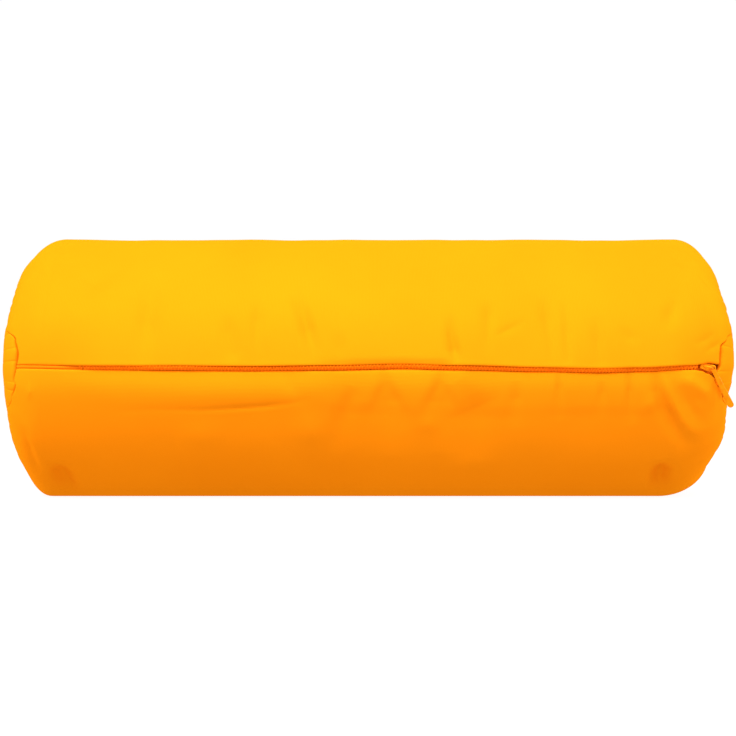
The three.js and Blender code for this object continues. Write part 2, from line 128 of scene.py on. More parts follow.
# Up, and the shares of its depth and of its sink that the seam's groove has there
GROOVES = {
    "left": (
        (-38, 0.5, 1.0),
        (-30, 0.15, 0.15),
        (-18, 0.6, 0.15),
        (-12, 1.1, 0.15),
        (-2, 1.2, 0.15),
        (7, 1.6, 0.15),
        (13, 1.2, 0.15),
        (17, 0.8, 0.15),
        (22, 0.4, 0.15),
        (29, 0.15, 0.15),
        (40, 0.5, 1.0),
    ),
    "right": (
        (-38, 0.5, 1.0),
        (-28, 0.1, 0.15),
        (-12, 0.15, 0.15),
        (-6, 0.3, 0.15),
        (0, 1.1, 0.15),
        (9, 1.5, 0.15),
        (14, 0.8, 0.15),
        (18, 0.3, 0.15),
        (26, 0.12, 0.15),
        (38, 0.5, 1.0),
    ),
}
# The groove's width where it has no depth, as a share of its full width
GROOVE_CLOSED = 0.15
# The cloth on both sides sinks towards the groove, by this much at most and over this width
SEAM_SINK = 2.6
SINK_WIDTH = 9.0
# How far under the disc's outer face its inner face and the tube's closed end lie
DISC_DEPTH = 2.5
UNDER_DEPTH = 4.2

# Place along the roll, and the up of the zip's line
ZIP_LINE = (
    (-188, 1.5),
    (-152, 0.9),
    (-115, 0.6),
    (-62, 0.2),
    (-20, 0.6),
    (17, 1.32),
    (48, 0.65),
    (90, -0.2),
    (122, -0.7),
    (143, -0.2),
    (170, 0.9),
    (188, 1.4),
)

# Folds along lines on the cover. Each point of a line: x, up, half width, height (a valley is negative).
SOFT_FOLDS = (
    # Pinched cloth above the zip, from left to right
    ((-115, 60, 6, 0), (-117, 42, 6, -1.3), (-117.5, 24, 6, -1.6), (-118, 8, 6, -0.4)),
    ((-137, 64, 6, 0), (-148, 50, 7, -1.5), (-160, 34, 7, 0)),
    ((-75, 30, 4, 0), (-74, 20, 4, -0.8), (-72, 9, 4, -0.6)),
    ((-59, 40, 4, 0), (-59, 27, 3.4, -1.1), (-59, 16, 3.4, -0.7), (-58, 6, 4, -0.3)),
    (
        (-39, 44, 4, 0),
        (-36, 33, 3.8, -1.4),
        (-32.5, 21, 3.8, -2.1),
        (-30, 12, 3.8, -1.1),
        (-29, 3, 3.4, -0.6),
    ),
    ((-16, 20, 3.5, 0), (-15, 12, 3.5, -0.5), (-14, 4, 3.5, -0.3)),
    ((44, 30, 3, 0), (44, 17, 2.8, -1.5), (45, 10, 2.8, -2.1), (47, 3, 3.2, -0.6)),
    # The softly rolled upper edge in the middle of the zip
    ((-34, 1.9, 2.2, 0), (-8, 2.0, 2.3, -0.9), (16, 2.4, 2.4, -1.2), (38, 2.2, 2.3, -0.9), (52, 1.9, 2.2, 0)),
    ((66, 40, 3.5, 0), (64, 29, 3.5, -1), (63, 17, 3.2, -0.5), (63, 6, 3.2, 0)),
    ((94, 42, 4, 0), (95, 27, 3.6, -1.2), (97, 9, 3.6, -0.8), (98, 2, 4, -0.4)),
    ((105, 40, 2.8, 0), (105, 20, 2.8, -0.9), (105, 6, 2.8, -0.5)),
    ((121, 30, 3.4, 0), (121, 15, 3.4, -0.8), (122, 5, 3.4, -0.4)),
    ((166, 42, 4, 0), (161, 30, 3.6, -1), (158, 20, 4, 0)),
    ((132, 22, 3, 0), (138, 17, 3, -0.5), (144, 13, 3, 0)),
    # Soft dents high at both ends
    ((168, 77, 5, 0), (173, 66, 5, -1.2), (177, 56, 5, 0)),
    ((-170, 78, 6, 0), (-168, 68, 6, -1.1), (-172, 57, 6, 0)),
    # The roll of cloth under the left half of the zip
    (
        (-190, -9, 8, 0.8),
        (-163, -11, 9, 0.3),
        (-120, -13, 8.5, 0.7),
        (-89, -13.5, 8, 1.3),
        (-62, -13, 7.8, 1.3),
        (-41, -12.5, 7, 1.1),
        (-17, -11, 7, 0),
    ),
    # Pleats pressed in under the zip, each of which fades slowly downwards
    ((8, -1, 2.4, -0.3), (9, -8, 3.8, -1.2), (10, -17, 6.5, -2), (11, -30, 9, -1.2), (11, -50, 11, 0)),
    ((8, -6, 2.2, 0), (6, -12, 2.4, -0.5), (3.5, -20, 3, -0.4), (1, -30, 4, 0)),
    ((10, -6, 2.2, 0), (13.5, -14, 2.4, -0.6), (18.5, -23, 3, -0.4), (21, -34, 5, 0)),
    (
        (39, -1, 2.4, -0.3),
        (37.5, -8, 3.8, -1.1),
        (37.5, -17, 6.5, -1.9),
        (38, -30, 9, -1.2),
        (38, -48, 11, 0),
    ),
    ((38, -5, 2.2, 0), (35, -11, 2.4, -0.6), (31, -20, 3, -0.5), (28.5, -30, 4, 0)),
    ((38.5, -6, 2.2, 0), (42, -13, 2.4, -0.5), (46.5, -22, 3, -0.3), (49, -32, 5, 0)),
    ((47, -6, 4, 0), (52, -14, 7, -1), (56, -21, 9, -2.4), (58, -34, 9, -1.2), (60, -54, 10, 0)),
    ((77, -6, 3, 0), (77.5, -15, 3.4, -1), (77, -32, 5, 0)),
    ((100, -1, 1.6, -0.2), (100.5, -9, 1.9, -1.2), (102, -28, 4, 0)),
    ((122.5, -6, 1.8, 0), (123, -12, 2, -0.8), (123, -26, 4, 0)),
    ((137, -1, 1.7, -0.4), (138, -11, 2, -1.5), (140, -30, 4, 0)),
    ((-8, -9, 4, 0), (-11, -17, 4.2, -1.1), (-14, -28, 5.5, -1.1), (-18, -48, 7, 0)),
    ((-44, -1, 2.6, -0.2), (-41, -8, 3, -0.5), (-34, -17, 5, -0.2), (-30, -26, 6, 0)),
    # Low swells further down the front
    ((-44, -34, 8, 0), (-31, -34, 8, 0.8), (-18, -33, 8, 0)),
    ((-104, -37, 8, 0), (-90, -36.5, 8, 0.7), (-76, -36, 8, 0)),
    ((22, -30, 5, 0), (33, -30, 5, 0.6), (40, -30, 5, 0)),
    ((38, -57, 8, 0), (52, -58, 9, 0.9), (74, -55, 8, 0)),
    # The fan of folds under the right end of the zip
    (
        (155.5, -3, 1.8, 0.3),
        (158.5, -12, 1.9, 1.3),
        (161.5, -19, 2, 1.6),
        (167, -29, 2.4, 1.3),
        (174, -39, 4, 0),
    ),
    (
        (151, -3, 2.8, -0.5),
        (152.5, -11, 3.1, -1.6),
        (156.5, -20, 3.5, -2.1),
        (162, -29, 4, -1.9),
        (169, -39, 4.2, -1.4),
        (176, -51, 6, 0),
    ),
    ((164, -8, 2.6, 0), (168.5, -17, 2.8, -0.9), (174, -25, 3.2, -1), (181, -35, 5, 0)),
    ((163, -4, 4, 0.4), (170, -6.5, 4.2, 1.7), (178, -12.5, 3.8, 1.4), (184, -22, 4, 0)),
    ((145, -25, 4, 0), (148.5, -18, 3.6, 0.7), (150, -11, 4, 0)),
    # The hollow that the pull lies in
    ((183, -7, 2.6, 0), (186, -12, 2.6, -0.5), (190, -18, 2.6, -0.5), (192, -23, 3, 0)),
    # Dents low at both ends
    ((158, -54, 5, 0), (160.5, -65, 5.4, -6.4), (162, -75, 5.4, -5.8), (163, -87, 5, 0)),
    ((-170, -55, 5, 0), (-169, -66, 5.6, -5.2), (-168, -76, 5.6, -4.8), (-167, -88, 5, 0)),
    ((-182, -26, 4, 0), (-181, -40, 4, 0.9), (-178, -62, 5, 0)),
    ((-184.5, -32, 2.4, 0), (-183, -46, 2.4, -1.5), (-181, -62, 3, -0.8), (-180, -70, 3, 0)),
)

# Creases, whose bottom is sharp
SHARP_FOLDS = (
    (
        (-144, -21.5, 1.6, 0),
        (-116, -21, 1.5, -0.2),
        (-89, -21.3, 1.3, -0.5),
        (-70, -20, 1.2, -0.95),
        (-56, -19, 1.2, -0.95),
        (-44, -17.7, 1.4, -0.4),
        (-30, -15.5, 1.6, 0),
    ),
    ((64, 15.5, 1.6, 0), (74, 21, 1.6, -0.5), (85, 26, 1.6, 0)),
    ((-178.5, -7, 1.5, 0), (-179, -12, 1.5, 0.6), (-180, -17, 1.5, 0)),
    ((189, 17, 1.8, 0), (183, 12, 1.8, -0.6), (177, 8, 1.8, 0)),
    ((186, 22, 1.8, 0), (179, 16, 1.8, -0.5), (171, 13, 1.8, 0)),
    ((-186, 52, 3, 0), (-181, 58, 3, -0.8), (-176, 63, 3, 0)),
    ((179, 60, 3, 0), (184, 53, 3, -0.8), (189, 46, 3, 0)),
)
# Exponents of a fold's section, whose bottom is round or sharp
SOFT = 2.0
SHARP = 1.3
# Small unevenness of the whole cover: strength, size, random seed
UNEVENNESS = ((0.28, 62, 11), (0.1, 23, 12))
# Its waves' lengths vary between these shares of the size
WAVE_SPREAD = (0.7, 1.7)

# A shelf under the zip, where the cloth steps back: place along the roll, up of its edge, depth
SHELF = (
    (-34, -15.5, 0.0),
    (-6, -16.5, 0.7),
    (16, -17.5, 0.4),
    (34, -18.5, 0.2),
    (62, -18.5, 0.7),
    (88, -18.0, 0.3),
    (108, -18.0, 0.6),
    (150, -17.5, 0.4),
    (172, -17.5, 0.0),
)
# How far down the step takes, and then its return
SHELF_STEP = 8.0
SHELF_RETURN = 34.0

# Opening of the zip between its folded edges: place along the roll, half width above, half width below
OPENING = (
    (-190, 0.98, 0.98),
    (-160, 0.98, 0.98),
    (-145, 0.95, 0.95),
    (-128, 1.08, 0.92),
    (-100, 1.35, 1.12),
    (-20, 1.4, 1.22),
    (60, 1.35, 1.15),
    (110, 1.12, 1.0),
    (160, 1.05, 1.05),
    (172, 1.1, 1.2),
    (176, 1.6, 1.9),
    (180, 2.15, 3.6),
    (186, 1.4, 7.0),
    (190, 1.1, 7.6),
)
# The half width at which the columns stand at their nominal ups
OPENING_REFERENCE = 1.5
# Where the opening is wider, the cloth up to here moves with its edge. Beyond, the movement fades over
# this length or over this many times the extra width, whichever is more.
GIVE_FROM = 4.5
GIVE_LENGTH = 4.0
GIVE_SHARE = 1.8
# The channel is deeper round the slider
POCKET_FLOOR = -1.3
POCKET_START = 172.0
POCKET_FULL = 177.0
# The cloth follows the zip's uneven line out to here, and no longer at twice as far
FOLLOW_FROM = 25.0
# The stiff zip carries the cloth forward in a ridge: height, length over which it fades, up of its
# top, rounding of its top, and the places along the roll between which it ends
RIDGE_HEIGHT = 3.3
RIDGE_LENGTH = 20.0
RIDGE_UP = -7.5
RIDGE_ROUNDING = 5.0
RIDGE_ENDS = (140.0, 185.0)
# The upper edge laps forward and the lower one lies back: height, length over which it fades. Both
# grow between the first two places along the roll and end between the last two.
LAP_UPPER = (2.3, 15.0)
LAP_LOWER = (-0.9, 7.0)
LAP_ENDS = (-168.0, -140.0, 160.0, 174.0)
# The zip rises and tilts with the laps, within its half width and fading over a little more
ZIP_LIFT = 1.15
ZIP_TILT = 0.5
ZIP_HALF_WIDTH = 1.3
ZIP_FADE = 0.8

# One folded edge of the zip, from the channel's floor to the cover: outward from the edge, height
LIP = (
    (2.7, -3.5),
    (3.0, -2.7),
    (2.7, -2.0),
    (1.4, -1.65),
    (0.5, -1.45),
    (0.1, -1.1),
    (0.0, -0.78),
    (0.08, -0.45),
    (0.32, -0.18),
    (0.75, -0.04),
    (1.3, 0.0),
)
# Below this height a folded edge belongs to the channel
LIP_INSIDE = -1.6

# The rolled edge of the tube along an end seam: distance from the seam, height
SEAM_LIP = ((0.7, -2.6), (0.6, -1.8), (0.55, -1.1), (0.65, -0.5), (0.95, -0.16), (1.6, 0.0))
# The disc's edge beside it: distance inside the seam, height
DISC_LIP = ((0.8, -2.5), (0.72, -1.8), (0.7, -1.1), (0.85, -0.5), (1.3, -0.17), (2.2, -0.04))

# Rows of points along the tube
SHOULDER_ROWS = 30
BARREL_ROWS = 300
# Columns of points round the tube from the zip to the back: where a stretch ends, its first and last spacing
LOWER_COLUMNS = (
    (8.0, 0.5, 0.7),
    (30.0, 0.7, 1.2),
    (FLAT_EDGE, 1.2, 2.2),
    (BACK_EDGE, 4.5, 4.5),
    (HALF_TURN, 2.2, 2.4),
)
UPPER_COLUMNS = ((8.0, 0.5, 0.7), (30.0, 0.7, 1.2), (118.0, 1.2, 1.9), (HALF_TURN, 2.0, 2.4))
# The tube's closed end behind the disc, as shares of the way from the axis to the seam
TUBE_INSIDE_SHARES = (0.35, 0.75, 0.97)
# The disc's outer face and its inner face in the same way
DISC_SHARES = (0.12, 0.24, 0.36, 0.47, 0.57, 0.66, 0.73, 0.79, 0.84, 0.88, 0.91, 0.94)
DISC_INSIDE_SHARES = (0.97, 0.6, 0.2)
# The disc's columns are this close near the zip, and this many elsewhere
DISC_FRONT = 30.0
DISC_FRONT_STEP = 0.4
DISC_BACK_COLUMNS = 620

# Small pleats at the seams: spacing, random seed, the seam's rough radius, how spacing and strength vary
GATHER_PITCH = 6.4
GATHER_SEED = 4
SEAM_RADIUS = 58
PITCH_SPREAD = (0.72, 1.3)
STRENGTH_SPREAD = (0.55, 1.15)
# Height, half width, length over which they fade
TUBE_GATHER = (0.55, 1.9, 6.0)
DISC_PLEAT = (0.32, 0.5, 12.0)
DISC_GATHER = (0.16, 1.8, 9.0)
# Beside the zip the tube's pleats keep this share of their height, which grows from here over this length
CALM_SHARE = 0.25
CALM_UP = 18
CALM_LENGTH = 30
# The flat cloth is longer than the drawn-in end by this share of the way from the seam
END_STRETCH = 0.3


def smooth(share):
    share = np.clip(share, 0, 1)
    return share * share * (3 - 2 * share)


def read(rows, at, column=1):
    """Reads one column of a table whose first column is the place, easing from row to row."""
    keys = np.array([row[0] for row in rows], dtype=float)
    values = np.array([row[column] for row in rows], dtype=float)
    at = np.clip(at, keys[0], keys[-1])
    low = np.clip(np.searchsorted(keys, at, side="right") - 1, 0, len(keys) - 2)
    share = smooth((at - keys[low]) / (keys[low + 1] - keys[low]))
    return values[low] + (values[low + 1] - values[low]) * share


def front_angle(up):
    """The angle's height on the front half of the roll, so that the back mirrors the front."""
    wrapped = np.mod(np.degrees(up / ROLL_RADIUS) + 180, 360) - 180
    return np.where(np.abs(wrapped) > 90, np.sign(wrapped) * 180 - wrapped, wrapped)


def end_shape(side, up):
    angle = front_angle(up)
    return tuple(read(ENDS[side], angle, column) for column in (1, 2, 3))


def end_place(side, up, station):
    """Distance along the roll, radius and lean of the normal at a station of an end."""
    reach, along, inward = end_shape(side, up)
    face = ROLL_RADIUS - inward
    turn = (2 - station) * math.pi / 2
    flat = station <= 1
    centre = read(ENDS[side], 0.0)
    dome = centre + (reach - centre) * smooth(station) + END_DOME * (1 - station**2) ** 2
    x = np.where(flat, dome, reach - along + along * np.sin(turn))
    radius = np.where(flat, face * station, face + inward * np.cos(turn))
    return x, radius, np.where(flat, math.pi / 2, turn)


def wrap(up):
    """The same place as a length of at most half a turn up or down."""
    return np.mod(up + HALF_TURN, 2 * HALF_TURN) - HALF_TURN


def seam_turn(side, up):
    return read(SEAMS[side], wrap(up))


def seam_station(side, up):
    return 2 - seam_turn(side, up) / 90


def arc_scale(side, up):
    """Millimetres of cloth to one station."""
    return end_shape(side, up)[2] * math.pi / 2


def seam_sink(side, up, station):
    """How far the cloth sinks towards the seam's groove. It sinks less by the zip's stiff end."""
    distance = (seam_station(side, up) - station) * arc_scale(side, up)
    return SEAM_SINK * read(GROOVES[side], wrap(up), 2) * np.exp(-((distance / SINK_WIDTH) ** 2))


def groove_shares(side, up):
    """Shares of the seam groove's depth and of its width."""
    depth = read(GROOVES[side], wrap(up))
    return depth, GROOVE_CLOSED + (1 - GROOVE_CLOSED) * depth


def point_on(x, radius, lean, sign, up, height):
    """Points in millimetres. The underside is pressed flat, and rises with each end's rounding."""
    angle = up / ROLL_RADIUS
    radius = radius + height * np.cos(lean)
    pressed = AXIS_HEIGHT * (1 - radius / ROLL_RADIUS)
    z = np.maximum(pressed, AXIS_HEIGHT + radius * np.sin(angle))
    return np.stack([sign * (x + height * np.sin(lean)), -radius * np.cos(angle), z], axis=-1)


def zip_up(x):
    return read(ZIP_LINE, x)


def pocket_share(x):
    return smooth((x - POCKET_START) / (POCKET_FULL - POCKET_START))


def fold_height(x, up, lines, sharpness):
    """Height of folds along their lines. Only the nearest stretch of each line counts."""
    total = np.zeros(np.broadcast(x, up).shape)
    for line in lines:
        nearest = np.full(total.shape, np.inf)
        height = np.zeros(total.shape)
        for (x1, up1, width1, height1), (x2, up2, width2, height2) in zip(line, line[1:]):
            dx, dup = x2 - x1, up2 - up1
            share = np.clip(((x - x1) * dx + (up - up1) * dup) / (dx * dx + dup * dup), 0, 1)
            distance = np.hypot(x - x1 - share * dx, up - up1 - share * dup)
            width = width1 + (width2 - width1) * share
            raised = (height1 + (height2 - height1) * share) * np.exp(-((distance / width) ** sharpness))
            height = np.where(distance < nearest, raised, height)
            nearest = np.minimum(nearest, distance)
        total += height
    return total


def shelf_height(x, up):
    """The step back below a shelf's edge, which comes out again slowly further down."""
    below = read(SHELF, x, 1) - up
    return -read(SHELF, x, 2) * smooth(below / SHELF_STEP) * (1 - smooth((below - SHELF_STEP) / SHELF_RETURN))


def folds(x, up):
    soft = fold_height(x, up, SOFT_FOLDS, SOFT)
    return soft + fold_height(x, up, SHARP_FOLDS, SHARP) + shelf_height(x, up)


def ripple(points, size, seed, waves=16):
    """A smooth uneven surface from waves in many directions, about -1 to 1."""
    draw = np.random.default_rng(seed)
    directions = draw.normal(size=(waves, 3))
    directions /= np.linalg.norm(directions, axis=1, keepdims=True)
    lengths = size * draw.uniform(*WAVE_SPREAD, waves)
    phases = draw.uniform(0, 2 * math.pi, waves)
    total = np.zeros(points.shape[:-1])
    for direction, length, phase in zip(directions, lengths, phases):
        total += np.sin(points @ direction * (2 * math.pi / length) + phase)
    return total / math.sqrt(waves)


def gathers(side, first):
    """Places of the small pleats round a seam, as ups, with a strength for each."""
    draw = np.random.default_rng(GATHER_SEED + list(SIDES).index(side))
    places = list(first)
    # The last pleat keeps clear of the first one
    stop = first[0] + 2 * HALF_TURN - 1.5 * GATHER_PITCH
    while places[-1] < stop:
        places.append(places[-1] + GATHER_PITCH * ROLL_RADIUS / SEAM_RADIUS * draw.uniform(*PITCH_SPREAD))
    return np.array(places), draw.uniform(*STRENGTH_SPREAD, len(places))


GATHERS = {
    "left": gathers("left", (-7.6, 4.8, 12.6)),
    "right": gathers("right", (-1.2, 14.0)),
}


def gather_height(side, up, width):
    places, strengths = GATHERS[side]
    away = np.abs(wrap(up[..., None] - places))
    return -(strengths * np.exp(-((away / width) ** 2))).sum(axis=-1)


def off_flat(up):
    """0 on the pressed flat and 1 well away from it."""
    from_middle = np.abs(wrap(up) + FLAT_MIDDLE)
    return smooth((from_middle - (FLAT_MIDDLE - FLAT_EDGE)) / FLAT_FADE)


def mesh_object(name, points, faces, uvs=None):
    """A smooth mesh from points and uvs in millimetres, the uvs one for each corner of each face."""
    mesh = bpy.data.meshes.new(name)
    mesh.from_pydata((points.reshape(-1, 3) * MM).tolist(), [], faces)
    if uvs is not None:
        layer = mesh.uv_layers.new(name="cloth")
        layer.data.foreach_set("uv", (np.asarray(uvs, dtype=float) * MM).ravel())
    mesh.polygons.foreach_set("use_smooth", [True] * len(mesh.polygons))
    mesh.update()
    obj = bpy.data.objects.new(name, mesh)
    bpy.context.scene.collection.objects.link(obj)
    return obj


def skin(name, start, rings, end, flat=None, flat_length=0.0):
    """A closed skin over rings that each go once round, with a point at both ends.

    flat gives each ring point's place on the flat cloth, and flat_length the cloth's length round."""
    rings = np.asarray(rings)
    rows, count = rings.shape[:2]
    points = np.vstack([start, rings.reshape(-1, 3), end])
    ring, i = (a.ravel() for a in np.meshgrid(np.arange(rows - 1), np.arange(count), indexing="ij"))
    near, far = 1 + ring * count, 1 + (ring + 1) * count
    beside = (i + 1) % count
    quads = np.stack([near + i, far + i, far + beside, near + beside], axis=1)
    last = len(points) - 1
    last_ring = 1 + (rows - 1) * count
    turn = [(c, (c + 1) % count) for c in range(count)]
    caps = [(0, 1 + c, 1 + d) for c, d in turn]
    caps += [(last_ring + c, last, last_ring + d) for c, d in turn]
    corners = points[quads]
    normal = np.cross(corners[:, 2] - corners[:, 0], corners[:, 3] - corners[:, 1])
    outward = np.einsum("ij,ij->", normal, corners.mean(axis=1) - points.mean(axis=0)) > 0
    faces = quads.tolist() + caps
    if not outward:
        faces = [tuple(reversed(face)) for face in faces]
    uvs = None
    if flat is not None:
        flat = np.asarray(flat).reshape(-1, 2)
        flat = np.vstack([flat[:1], flat, flat[-1:]])
        uvs = flat[np.concatenate([np.array(face) for face in faces])]
        wrapped = np.repeat(i == count - 1, 4)
        high = wrapped & (uvs[: len(wrapped), 1] < flat_length / 2 - HALF_TURN)
        uvs[: len(wrapped)][high, 1] += flat_length
    return mesh_object(name, points, faces, uvs)


def steps(start, stop, first, last):
    """Places from start to stop whose spacing grows evenly from first to last."""
    count = max(2, round(2 * abs(stop - start) / (first + last)))
    share = (np.arange(count) + 1) / count
    bend = (last - first) / (last + first)
    return start + (stop - start) * (share + bend * (share * share - share))


def spaced(start, stretches):
    """Places from start on, through stretches with their own spacing."""
    places = []
    for stop, first, last in stretches:
        places.extend(steps(start, stop, first, last))
        start = stop
    return places


def cover_columns():
    """Columns round the tube: nominal up, and the folded edge's height at each."""
    lip = [(OPENING_REFERENCE + out, height) for out, height in LIP]
    start = lip[-1][0]
    lower = [(-up, height) for up, height in lip] + [(-up, 0) for up in spaced(start, LOWER_COLUMNS)]
    upper = lip + [(up, 0) for up in spaced(start, UPPER_COLUMNS)[:-1]]
    columns = np.array(lower[::-1] + [(0, LIP[0][1])] + upper)
    return columns[:, 0], columns[:, 1]


def column_up(column, x):
    """Near the zip a column keeps its distance from the zip's uneven line and its opening's edge."""
    follow = 1 - smooth((np.abs(column) - FOLLOW_FROM) / FOLLOW_FROM)
    wider = np.where(column > 0, read(OPENING, x, 1), read(OPENING, x, 2)) - OPENING_REFERENCE
    length = np.maximum(GIVE_LENGTH, GIVE_SHARE * wider)
    give = np.exp(-np.maximum(0, np.abs(column) - GIVE_FROM) / length)
    return column + follow * zip_up(x) + np.sign(column) * wider * give


def end_ups(side, columns):
    """The columns' true ups at a seam, where the zip's line and its opening have moved them."""
    return column_up(columns, SIDES[side] * zip_end(side))


def lap_share(x):
    low, left, right, high = LAP_ENDS
    return smooth((x - low) / (left - low)) * (1 - smooth((x - right) / (high - right)))


def lap_height(column, x):
    """The edge above the zip stands a little proud and the one below it lies a little low."""
    height, length = (np.where(column > 0, *pair) for pair in zip(LAP_UPPER, LAP_LOWER))
    return height * np.exp(-np.abs(column) / length) * lap_share(x)


def ridge_height(x, up):
    """The stiff zip carries the cover a little forward along its line."""
    ends = smooth((RIDGE_ENDS[1] - np.abs(x)) / (RIDGE_ENDS[1] - RIDGE_ENDS[0]))
    away = np.hypot(up - RIDGE_UP, RIDGE_ROUNDING) - RIDGE_ROUNDING
    return RIDGE_HEIGHT * ends * np.exp(-away / RIDGE_LENGTH)


def cloth_height(column, up, x, base, rough):
    """Height of the cover over the plain roll: folded edge, folds and small unevenness."""
    deeper = np.where(base < LIP_INSIDE, POCKET_FLOOR * pocket_share(x), 0)
    lap = np.where(base > LIP_INSIDE, lap_height(column, x), 0)
    return base + deeper + lap + (folds(x, up) + rough) * off_flat(up) + ridge_height(x, up)


def unevenness(points):
    return sum(strength * ripple(points, size, seed) for strength, size, seed in UNEVENNESS)


def end_rows(side, columns, base):
    """Rings of one end of the tube, from the axis out to the barrel, with their flat places."""
    sign = SIDES[side]
    ups = end_ups(side, columns)
    seam = seam_station(side, ups)
    scale = arc_scale(side, ups)
    groove, spread = groove_shares(side, ups)
    rows = [(seam * share, -UNDER_DEPTH) for share in TUBE_INSIDE_SHARES]
    rows += [(seam + away * spread / scale, height * groove) for away, height in SEAM_LIP]
    start = seam + SEAM_LIP[-1][0] * spread / scale
    rows += [(start + (2 - start) * row / SHOULDER_ROWS, 0.0) for row in range(1, SHOULDER_ROWS)]
    rings, flats = [], []
    for number, (station, height) in enumerate(rows):
        x, radius, lean = end_place(side, ups, station)
        if number < len(TUBE_INSIDE_SHARES):
            sunk = height - seam_sink(side, ups, station)
            rings.append(point_on(x, radius, lean, sign, ups, sunk))
            flats.append(np.stack([sign * x, columns], axis=-1))
            continue
        up = column_up(columns, sign * x)
        plain = point_on(x, radius, lean, sign, up, 0)
        away = (station - seam) * scale
        strength, width, length = TUBE_GATHER
        calm = CALM_SHARE + (1 - CALM_SHARE) * smooth((np.abs(columns) - CALM_UP) / CALM_LENGTH)
        gather = strength * calm * gather_height(side, ups, width) * np.exp(-away / length)
        total = cloth_height(columns, up, sign * x, base, unevenness(plain)) + height + gather
        rings.append(point_on(x, radius, lean, sign, up, total))
        flats.append(np.stack([sign * (x + away * END_STRETCH), columns], axis=-1))
    return rings, flats


def barrel_rows(columns, base, count):
    """Rings of the straight part, from where the left rounding ends to where the right one starts."""
    left, right = (end_shape(side, end_ups(side, columns)) for side in SIDES)
    start, stop = left[1] - left[0], right[0] - right[1]
    x = start + (stop - start) * np.linspace(0, 1, count + 1)[:, None]
    up = column_up(columns, x)
    plain = point_on(x, ROLL_RADIUS, 0, 1, up, 0)
    height = cloth_height(columns, up, x, base, unevenness(plain))
    flat = np.stack(np.broadcast_arrays(x, columns), axis=-1)
    return list(point_on(x, ROLL_RADIUS, 0, 1, up, height)), list(flat)


def cover_tube():
    columns, base = cover_columns()
    left, left_flat = end_rows("left", columns, base)
    right, right_flat = end_rows("right", columns, base)
    barrel, barrel_flat = barrel_rows(columns, base, BARREL_ROWS)
    rings = left + barrel + right[::-1]
    flats = left_flat + barrel_flat + right_flat[::-1]
    caps = [point_on(*end_place(side, 0.0, 0.0), sign, 0.0, -UNDER_DEPTH) for side, sign in SIDES.items()]
    return skin("cover_tube", caps[0], rings, caps[1], flats, 2 * HALF_TURN)


def end_disc(side):
    """A cloth disc, gathered into small pleats where it is sewn to the tube, and bulging with the filling."""
    sign = SIDES[side]
    front = np.arange(-DISC_FRONT, DISC_FRONT, DISC_FRONT_STEP)
    rest = np.linspace(DISC_FRONT, 2 * HALF_TURN - DISC_FRONT, DISC_BACK_COLUMNS, endpoint=False)
    columns = np.concatenate([front, rest])
    seam = seam_station(side, columns)
    scale = arc_scale(side, columns)
    groove, spread = groove_shares(side, columns)
    rows = [(seam * share, 0.0) for share in DISC_SHARES]
    rows += [(seam - away * spread / scale, height * groove) for away, height in DISC_LIP[::-1]]
    angle = columns / ROLL_RADIUS
    rings, flats = [], []
    for station, height in rows:
        x, radius, lean = end_place(side, columns, station)
        away = (seam - station) * scale
        gather = sum(
            strength * gather_height(side, columns, width) * np.exp(-away / length)
            for strength, width, length in (DISC_PLEAT, DISC_GATHER)
        )
        total = height + gather - seam_sink(side, columns, station)
        rings.append(point_on(x, radius, lean, sign, columns, total))
        flats.append(np.stack([radius * np.cos(angle), radius * np.sin(angle)], axis=-1))
    for share in DISC_INSIDE_SHARES:
        x, radius, lean = end_place(side, columns, seam * share)
        sunk = -DISC_DEPTH - seam_sink(side, columns, seam * share)
        rings.append(point_on(x, radius, lean, sign, columns, sunk))
        flats.append(flats[-1])
    centre = end_place(side, 0.0, 0.0)
    top = point_on(*centre, sign, 0.0, 0.0)
    foot = point_on(*centre, sign, 0.0, -DISC_DEPTH)
    return skin(f"end_{side}", top, rings, foot, flats)


def front_place(x):
    """Distance along the roll, radius and lean on its front line, at x."""
    values = []
    for side in SIDES:
        reach, along, inward = (float(value) for value in end_shape(side, 0.0))
        turn = np.arcsin(np.clip(np.abs(x) - (reach - along), 0, along) / along)
        values.append((ROLL_RADIUS - inward * (1 - np.cos(turn)), turn))
    radius, lean = (np.where(x < 0, left, right) for left, right in zip(*values))
    return np.abs(x), radius, lean


def zip_point(x, side, height):
    """Points of the zip, from their distance above its line and their height over the plain roll."""
    line = zip_up(x)
    middle = 1 - smooth((np.abs(side) - ZIP_HALF_WIDTH) / ZIP_FADE)
    raised = ridge_height(x, line) + (ZIP_LIFT + ZIP_TILT * side) * middle * lap_share(x)
    raised = raised + folds(x, line)
    return point_on(*front_place(x), np.where(x < 0, -1, 1), line + side, height + raised)


def zip_end(side):
    """How far along the roll the seam crosses the front line."""
    return float(end_place(side, 0.0, seam_station(side, 0.0))[0])


# Section of the two tapes: places across, height of the top in the middle, its fall for each
# millimetre outward, thickness, and the distance between sections
TAPE_SIDES = (-4.1, -3.2, -2.2, -1.4, -1.1, -0.9, -0.7, -0.4, 0.0, 0.4, 0.7, 0.9, 1.1, 1.4, 2.2, 3.2, 4.1)
TAPE_TOP = -2.1
TAPE_DROP = 0.06
TAPE_THICKNESS = 0.45
TAPE_STEP = 1.2
# Gaps between the tapes and the seams at both ends
TAPE_GAPS = {"left": 1.2, "right": 1.5}
# The plain strip where the zip starts: place along the roll, how far its middle stands up
STRIP = ((-164, 1.8), (-150, 0.5), (-146, 0.0))
STRIP_HALF_WIDTH = 1.02
STRIP_SQUARENESS = 6


